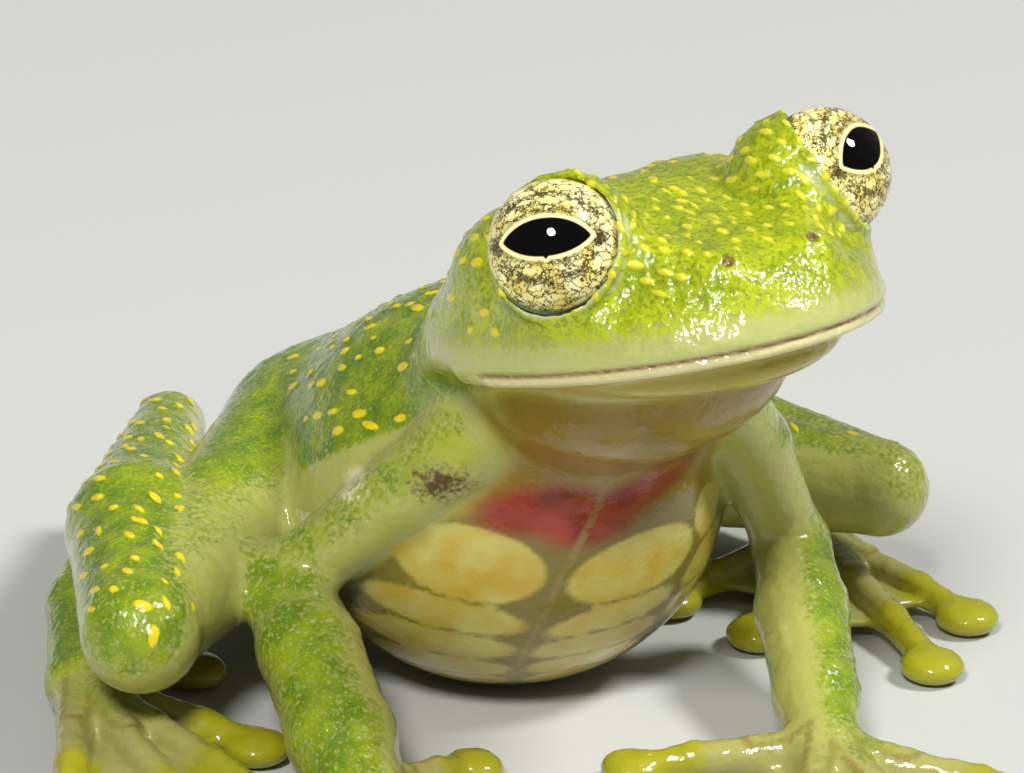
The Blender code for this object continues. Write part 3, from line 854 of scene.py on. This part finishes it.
# What shows through the belly, by the turn and rise from its middle, in degrees
bellyMarks = {
    "middle": (-0.3, -1.3, 4.5),
    "midline": -12,
    "degree": 0.085,    # mm along the belly
    # middle, half sizes and tilt
    "lobes": [
        ((-41, 0.5), (22, 11.5), -9), ((8, -3.5), (24, 10.3), 8), ((39, 5), (9, 7.4), 30),
        ((-49, -14.8), (27, 6.4), -10), ((3, -18.8), (25, 6), 9), ((40, -9), (14, 7), 30),
        ((-54, -26), (30, 6.6), -7), ((1, -28.5), (27, 6.2), 5), ((38, -20), (15, 6.4), 22),
        ((-56, -38), (31, 7), -5), ((1, -39), (28, 6.4), 3),
        ((-56, -51), (31, 7.5), 0), ((2, -51), (29, 7.5), 0),
    ],
    "heart": [((-23, 16), (17, 6.5), 3), ((3, 16.5), (21, 6), 24), ((-9, 12), (14, 6), 0)],
    "strand": [(-9, 30), (-6, 19), (-8, 12), (-12, 5), (-16, -2), (-24, -26), (-28, -50)],
}

# Small marks beside each arm: middle and half sizes in millimetres
armMarks = {
    "bruise": ((4.42, -5.0, 6.7), (0.55, 0.55, 0.33)),
    "limeSpot": ((4.15, -5.25, 7.6), (0.45, 0.45, 0.4)),
    "whiteSpot": ((5.5, -2.8, 6.1), (0.5, 0.75, 0.33)),
}


def ovalDistance(turn, rise, centre, radii, tilt):
    c, s = cos(radians(tilt)), sin(radians(tilt))
    dx, dy = turn - centre[0], rise - centre[1]
    u, v = dx * c + dy * s, -dx * s + dy * c
    share = np.sqrt((u / radii[0]) ** 2 + (v / radii[1]) ** 2)
    return (share - 1) * min(radii) * bellyMarks["degree"]


def awayFrom(start, end, places):
    along = end - start
    share = np.clip((places - start) @ along / (along @ along), 0, 1)
    return np.linalg.norm(places - start - share[:, None] * along, axis=1)


def markBelly(marks, points, trunkLead):
    height = backHeight(points)
    offset = points - np.array(bellyMarks["middle"])
    turn = np.degrees(np.arctan2(offset[:, 0], -offset[:, 1]))
    rise = np.degrees(np.arctan2(offset[:, 2], np.hypot(offset[:, 0], offset[:, 1])))
    aside = np.abs(turn - bellyMarks["midline"])
    onBelly = smoothStep(0.3, -0.4, height) * trunkLead * smoothStep(95, 75, aside)
    # Dark olive is laid on fully low on the belly and towards its sides: painted shade where the
    # belly turns under
    marks["belly"] = onBelly * smoothStep(7, -7, rise - 15 + 0.4 * np.maximum(aside - 35, 0))

    # Where two lobes overlap, the seam between them lies halfway
    lobes = np.sort([ovalDistance(turn, rise, *oval) for oval in bellyMarks["lobes"]], axis=0)
    lobe = np.maximum(lobes[0], (lobes[0] - lobes[1]) / 2)
    heart = np.full(len(points), farAway)
    for oval in bellyMarks["heart"]:
        heart = smoothMin(heart, ovalDistance(turn, rise, *oval), 0.25)
    marks["lobe"] = np.where(marks["belly"] > 0.05, lobe, farAway)
    marks["heart"] = np.where(onBelly > 0.3, heart, farAway)
    line = np.array(bellyMarks["strand"])
    angles = np.stack((turn, rise), 1)
    strand = np.min([awayFrom(*ends, angles) for ends in zip(line[:-1], line[1:])], axis=0)
    strand = strand * bellyMarks["degree"]
    marks["strand"] = np.where(onBelly > 0.3, strand, farAway)


def armMark(points, centre, radii):
    offsets = [
        (points - np.array((centre[0] * side, *centre[1:]))) / np.array(radii)
        for side in sides.values()
    ]
    return (np.min(np.linalg.norm(offsets, axis=2), axis=0) - 1) * min(radii)


def lidRims(points):
    rim = np.full(len(points), farAway)
    for side in sides.values():
        centre, opening = np.array(eyeCentre(side)), np.array(eyeOpening(side))
        offset = points - centre
        out = offset @ opening
        aside = offset - out[:, None] * opening
        ring = np.linalg.norm(aside, axis=1)
        front = np.array(headTurn @ Vector((0, -0.85, -0.5)))
        ahead = aside @ front / np.maximum(ring, 1e-4)
        away = np.hypot(ring - body["eyeRadius"], np.maximum(out, 0))
        away = away + 0.16 * smoothStep(0.5, -0.4, ahead)
        rim = np.minimum(rim, np.where(out > -0.6, away, farAway))
    return rim


# Distance to the nostrils' middles, round which the brown painted shade of each hole is laid
def nostrils(points):
    left, forward, above = skinShape["nostril"]
    places = [np.array(onHead(left * side, forward, above)) for side in sides.values()]
    return np.min([np.linalg.norm(points - place, axis=1) for place in places], axis=0)


def digitTips(points, near):
    # How far out along its own finger or toe each point lies
    outward = np.zeros(len(points))
    for label in sides:
        for digit in digits:
            start = np.array(joints[label][digit["root"]][:2])
            for number, tip in enumerate(joints[label][digit["tips"]], 1):
                share = np.linalg.norm(points[:, :2] - start, axis=1) / np.linalg.norm(tip - start)
                own = near[f"{digit['name']}_{number}_{label}"] < 0.3
                outward = np.where(own, np.maximum(outward, share), outward)
    return outward


def rays(points):
    # Distance to the lines over the bones of the palms and soles, as they show through the skin
    best = np.full(len(points), farAway)
    for place in joints.values():
        for digit in digits:
            root = place[digit["root"]]
            for tip in place[digit["tips"]]:
                end = np.array(knuckle(root, tip, digit["palm"] * 1.4))[:2]
                best = np.minimum(best, awayFrom(np.array(root[:2]), end, points[:, :2]))
    return best


# The marks are stored at the vertices, so that the material can draw their edges
def markSkin(mesh):
    points, normals = pointsOf(mesh)
    near = nearness(points)
    names = list(near)
    stack = np.array([near[name] for name in names])

    def lead(*starts):
        # How far inside its own masses a point is, against all others
        own = [i for i, name in enumerate(names) if name.startswith(starts)]
        rest = [i for i in range(len(names)) if i not in own]
        return stack[rest].min(0) - stack[own].min(0)

    marks = {}
    mouthBack, mouthUp = inAxes(points, mouthCentre, mouthTurn)[1:]
    headLead = smoothStep(-0.6, 0.6, lead("head", "lower_jaw"))
    trunkLead = smoothStep(-0.5, 0.5, lead("trunk"))
    height = backHeight(points)

    # Pigment lies over the head above its lips, over the back and along the limbs' outer sides
    headGreen = smoothStep(0.15, 1.2, mouthUp)
    backGreen = smoothStep(-0.1, 0.5, height) * smoothStep(-8.2, -7.4, points[:, 1])
    limbGreen = np.zeros(len(points), np.float32)
    for (label, side), index in zip(sides.items(), (0, 1)):
        for part, (facing, low, high, most) in limbGreens.items():
            facing = np.array((facing[0] * side, *facing[1:]))
            facing = facing / np.linalg.norm(facing)
            amount = smoothStep(low, high, normals @ facing) * most[index]
            own = smoothStep(-0.5, 0.4, lead(part + "_" + label))
            limbGreen = np.maximum(limbGreen, amount * own)
    onThigh = smoothStep(-0.4, 0.2, lead("thigh")) * smoothStep(-2.5, 0.0, points[:, 1])
    limbGreen = np.maximum(limbGreen, onThigh * smoothStep(4.8, 5.4, points[:, 2]))
    jawShare = smoothStep(-0.2, 0.2, lead("lower_jaw"))
    marks["pigment"] = np.maximum(
        headGreen * headLead * (1 - jawShare), np.maximum(backGreen * trunkLead, limbGreen)
    )
    marks["headShare"] = headLead

    # The lips, and the bare skin below them
    onLips = (headLead > 0.4) & (mouthUp > -0.5)
    marks["lipHeight"] = np.where(onLips, mouthUp + 0.08, farAway)
    # The thin brown line along the closed mouth is painted shade in the groove between the lips
    for name, end, middle in (("lowerLip", 0.6, 0.27), ("mouthGrooveShade", 0.15, 0.07)):
        onLips = (headLead > 0.3) & (mouthBack < end)
        marks[name] = np.where(onLips, np.abs(mouthUp + middle), farAway)
    bare = (1 - headLead) * smoothStep(0.2, -0.6, height)
    marks["throat"] = headLead * smoothStep(-0.35, -0.55, mouthUp) + bare
    marks["throat"] *= smoothStep(4.6, 6.0, points[:, 2]) * np.maximum(headLead, trunkLead)
    marks["throat"] *= smoothStep(-3.4, -4.6, points[:, 1])
    marks["chest"] = trunkLead * smoothStep(0.2, -0.8, height)
    marks["chest"] *= smoothStep(-4.0, -5.6, points[:, 1])

    marks["toes"] = smoothStep(-0.5, 0.8, lead("finger", "toe"))
    marks["toes"] *= smoothStep(0.45, 0.75, digitTips(points, near))
    marks["feet"] = smoothStep(-0.5, 0.5, lead("hand", "foot", "finger", "toe"))
    marks["ray"] = np.where(marks["feet"] > 0.3, np.abs(rays(points) - 0.3), farAway)
    for name, made in madeFlecks.items():
        marks[name + "Fleck"] = fleckDistance(made, points)
    markBelly(marks, points, trunkLead)
    for name, (centre, radii) in armMarks.items():
        marks[name] = armMark(points, centre, radii)
    marks["lidRim"] = lidRims(points)
    marks["nostril"] = nostrils(points)
    for name, values in marks.items():
        store(mesh, name, values)


markSkin(thinned)
print("skin marked")

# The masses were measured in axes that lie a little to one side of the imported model's
eyeLow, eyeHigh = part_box("eye_right")
shift = (eyeLow + eyeHigh) / 2 * 1000 - eyeCentre(-1)
shift.z = 0
toFrame = Matrix.Scale(0.001, 4) @ Matrix.Translation(shift)
thinned.transform(toFrame)


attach(skin, "root")
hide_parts(*pieces)
print("skin finished")

# Eyes: an opaque iris body under a clear cornea filled with fluid
eyeShape = {
    "irisWidth": 0.965,             # share of the ball's radius
    "irisDepth": 0.58,
    "gaze": (0.62, -0.62, 0.48),    # where the pupil faces, in the head's axes
    "roll": 27.0,                   # degrees, lifts the pupil's front end
    "pupil": (0.9, 0.39),           # half length and half height in mm
    "notch": 0.05,                  # mm, the nick in the pupil's lower edge
    "irisRings": (160, 96),
    "corneaRings": (96, 64),
}


def ballMesh(name, rings):
    mesh = bpy.data.meshes.new(name)
    bm = bmesh.new()
    bmesh.ops.create_uvsphere(bm, u_segments=rings[0], v_segments=rings[1], radius=1.0)
    bm.to_mesh(mesh)
    bm.free()
    mesh.shade_smooth()
    return mesh


def eyeTurn(side):
    # Columns: along the pupil, up across it, and out of the eye
    left, backwards, up = eyeShape["gaze"]
    out = (headTurn @ Vector((left * side, backwards, up))).normalized()
    along = headTurn @ Vector((0, side, 0))
    along = (along - out * along.dot(out)).normalized()
    upward = out.cross(along)
    turn = Matrix((along, upward, out)).transposed()
    return turn @ Matrix.Rotation(radians(-side * eyeShape["roll"]), 3, "Z")


def makeEye(label, side):
    radius = body["eyeRadius"]
    place = Matrix.Translation(eyeCentre(side)) @ eyeTurn(side).to_4x4()
    iris = ballMesh("iris_" + label, eyeShape["irisRings"])
    points = pointsOf(iris)[0]
    points = points * np.array((1, 1, eyeShape["irisDepth"] / eyeShape["irisWidth"]))
    points = points * radius * eyeShape["irisWidth"]
    iris.vertices.foreach_set("co", points.astype(np.float32).ravel())
    x, y = points[:, 0], points[:, 1]
    halfLong, halfHigh = eyeShape["pupil"]
    notch = eyeShape["notch"] * np.exp(-((x + 0.02) / 0.035) ** 2) * (y < 0)
    shareOut = np.abs(y / halfHigh) ** 1.25 + np.abs(x / halfLong) ** 2.2 - 1
    store(iris, "pupilEdge", shareOut * halfHigh * 0.75 - notch)
    # How far in from the iris's edge, where painted shade of the crevice under the lids is laid
    store(iris, "rimEdge", radius * eyeShape["irisWidth"] - np.hypot(x, y))

    # Dark patches past the pupil's ends, and dark arcs above and below it
    ends = np.exp(-((np.abs(x) - halfLong * 1.18) / 0.2) ** 2 - ((y + 0.05) / 0.2) ** 2)
    store(iris, "endShade", ends)
    below = np.abs(np.hypot(x * 0.85, y) - 0.88) + 2.0 * (y > -0.3)
    above = np.abs(np.hypot(x * 0.8, y) - 0.92) + 2.0 * (y < 0.45)
    store(iris, "arcs", np.minimum(below, above))
    flat = iris.attributes.new("irisPlace", "FLOAT_VECTOR", "POINT")
    flat.data.foreach_set("vector", points.astype(np.float32).ravel())
    iris.transform(toFrame @ place)
    cornea = ballMesh("cornea_" + label, eyeShape["corneaRings"])
    cornea.transform(toFrame @ place @ Matrix.Scale(radius, 4))
    made = [addObject(mesh.name, mesh) for mesh in (iris, cornea)]
    for piece in made:
        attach(piece, "root")
    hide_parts("eye_" + label)
    made[1].visible_shadow = False    # light reaches the iris through the clear cornea
    return made


# Iris: living tissue with pale gold pigment under a dark branching network. It is matt, because
# all of the eye's gloss comes from the cornea.
irisLook = {
    "pale": "#cfc795",
    "gold": "#bfae5a",
    "network": "#241b06",
    "stretch": (0.6, 1.1, 1.0),    # draws the network out along the pupil
    "cells": 4.6,                  # meshes of the network to a millimetre
}

# Mark, where it starts and is full, how much the specks break its edge, paint and strength
irisLayers = [
    ("endShade", 0.35, 0.8, 2.2, "#2c2410", 0.95),
    ("arcs", 0.08, 0.0, 0.6, "#30240e", 0.9),
    # Dark edge round the iris: painted shade of the crevice where the lids meet the eye
    ("rimEdge", 0.07, 0.02, 0.1, "#2a3020", 0.9),
    ("pupilEdge", 0.24, 0.12, 1.2, "#4a3c14", 0.6),
    ("pupilEdge", 0.1, 0.06, 0.1, "#e2d896", 1.0),
    ("pupilEdge", 0.02, 0.0, 0.0, "#7a4a1c", 0.8),
    ("pupilEdge", 0.004, -0.01, 0.0, "#020202", 1.0),
]


def irisMaterial(look, layers):
    material, shader = newMaterial("pale gold iris")
    tree = material.node_tree
    place = addNode(tree, "Attribute", attribute_name="irisPlace").outputs["Vector"]
    marks = {
        name: addNode(tree, "Attribute", attribute_name=name).outputs["Fac"]
        for name in dict.fromkeys(layer[0] for layer in layers)
    }
    wander, speck, patch = [
        addNode(tree, "TexNoise", {
            "Vector": place, "Scale": scale, "Detail": detail, "Roughness": rough})
        for scale, detail, rough in ((4.0, 5.0, 0.65), (16.0, 4.0, 0.7), (2.2, 2.0, 0.5))
    ]
    stretched = addNode(tree, "VectorMath", {0: place, 1: look["stretch"]}, operation="MULTIPLY")
    bent = addNode(tree, "VectorMath", {
        0: wander.outputs["Color"], 1: (0.5, 0.5, 0.5), 2: stretched}, operation="MULTIPLY_ADD")
    cells = addNode(tree, "TexVoronoi", {"Vector": bent, "Scale": look["cells"]},
                    feature="DISTANCE_TO_EDGE")
    gold = addNode(tree, "MapRange", {"Value": patch, "From Min": 0.4, "From Max": 0.62})
    network = addNode(tree, "MapRange", {
        "Value": cells, "From Min": 0.13, "From Max": 0.03}, interpolation_type="SMOOTHSTEP")
    broken = addNode(tree, "MapRange", {"Value": speck, "From Min": 0.36, "From Max": 0.5})
    drawn = addNode(tree, "Math", {0: network, 1: broken}, operation="MULTIPLY")
    colour = linear(look["pale"])
    for share, paint in ((gold, "gold"), (drawn, "network")):
        colour = addNode(tree, "Mix", {0: share, 6: colour, 7: linear(look[paint])},
                         data_type="RGBA").outputs[2]
    centred = addNode(tree, "Math", {0: speck, 1: 0.5}, operation="SUBTRACT")
    connect(shader, {
        "Base Color": painted(tree, colour, layers, marks, centred, {}, "LINEAR"),
        "Roughness": 0.6, "Specular IOR Level": 0.0,
    })
    return material


def corneaMaterial():
    # Clear living tissue under a film of tears: one sharp highlight, and the iris looks wider
    material, shader = newMaterial("clear wet cornea")
    connect(shader, {
        "Base Color": linear("#fbfdfa"), "Roughness": 0.02, "IOR": 1.336,
        "Transmission Weight": 1.0,
    })
    return material


irisMade = irisMaterial(irisLook, irisLayers)
corneaMade = corneaMaterial()
for label, side in sides.items():
    iris, cornea = makeEye(label, side)
    iris.data.materials.append(irisMade)
    cornea.data.materials.append(corneaMade)
print("eyes finished")

# A plain pale floor, two large soft lights and the photograph's camera
stageLook = {
    "floor": "#bcbdb7",
    "floorHalf": 0.6,    # sizes and places are in metres, powers in watts
    "keyAt": (-0.30, -0.30, 0.42),
    "keySize": 0.14,
    "keyPower": 3.2,
    "fillAt": (0.27, -0.19, 0.46),
    "fillSize": 0.13,
    "fillPower": 2.8,
    "world": "#f2f4f5",
    "worldStrength": 0.2,
}


def addFloor(look):
    half = look["floorHalf"]
    corners = [(-half, -half, 0), (half, -half, 0), (half, half, 0), (-half, half, 0)]
    mesh = bpy.data.meshes.new("floor")
    mesh.from_pydata(corners, [], [(0, 1, 2, 3)])
    floor = addObject("floor", mesh)
    # Board under matt paint: it takes soft shadows and shows no reflection
    material, shader = newMaterial("matt pale board")
    connect(shader, {"Base Color": linear(look["floor"]), "Roughness": 0.7})
    mesh.materials.append(material)


def addLight(name, at, size, power):
    lamp = bpy.data.lights.new(name, "AREA")
    lamp.shape = "DISK"
    lamp.size = size
    lamp.energy = power
    light = addObject(name, lamp)
    light.location = at
    light.rotation_mode = "QUATERNION"
    middle = (cadLow + cadHigh) / 2
    light.rotation_quaternion = (middle - Vector(at)).to_track_quat("-Z", "Y")


addFloor(stageLook)
for name in ("key", "fill"):
    addLight(name, *[stageLook[name + setting] for setting in ("At", "Size", "Power")])
world = bpy.data.worlds.new("studio")
bpy.context.scene.world = world
world.use_nodes = True
connect(world.node_tree.nodes["Background"], {
    0: linear(stageLook["world"]), 1: stageLook["worldStrength"]})

view = {
    "azimuth": -31.25,
    "elevation": 19.92,
    "roll": 1.91,
    "distance": 152.0,
    "lens": 222.26,     # 6322 pixels across the photograph's 1024
    "target": (0, -0.76, 7.0),
}
azimuth, elevation = radians(view["azimuth"]), radians(view["elevation"])
back = Vector((sin(azimuth) * cos(elevation), -cos(azimuth) * cos(elevation), sin(elevation)))
lens = bpy.data.cameras.new("camera")
lens.lens = view["lens"]
lens.sensor_width = 36.0
lens.clip_start = 0.01
camera = addObject("camera", lens)
camera.location = (Vector(view["target"]) + shift + back * view["distance"]) * 0.001
camera.rotation_mode = "QUATERNION"
rolled = Quaternion((0, 0, 1), radians(view["roll"]))
camera.rotation_quaternion = (-back).to_track_quat("-Z", "Y") @ rolled
bpy.context.scene.camera = camera
bpy.context.scene.view_settings.view_transform = "Standard"
print("stage finished")
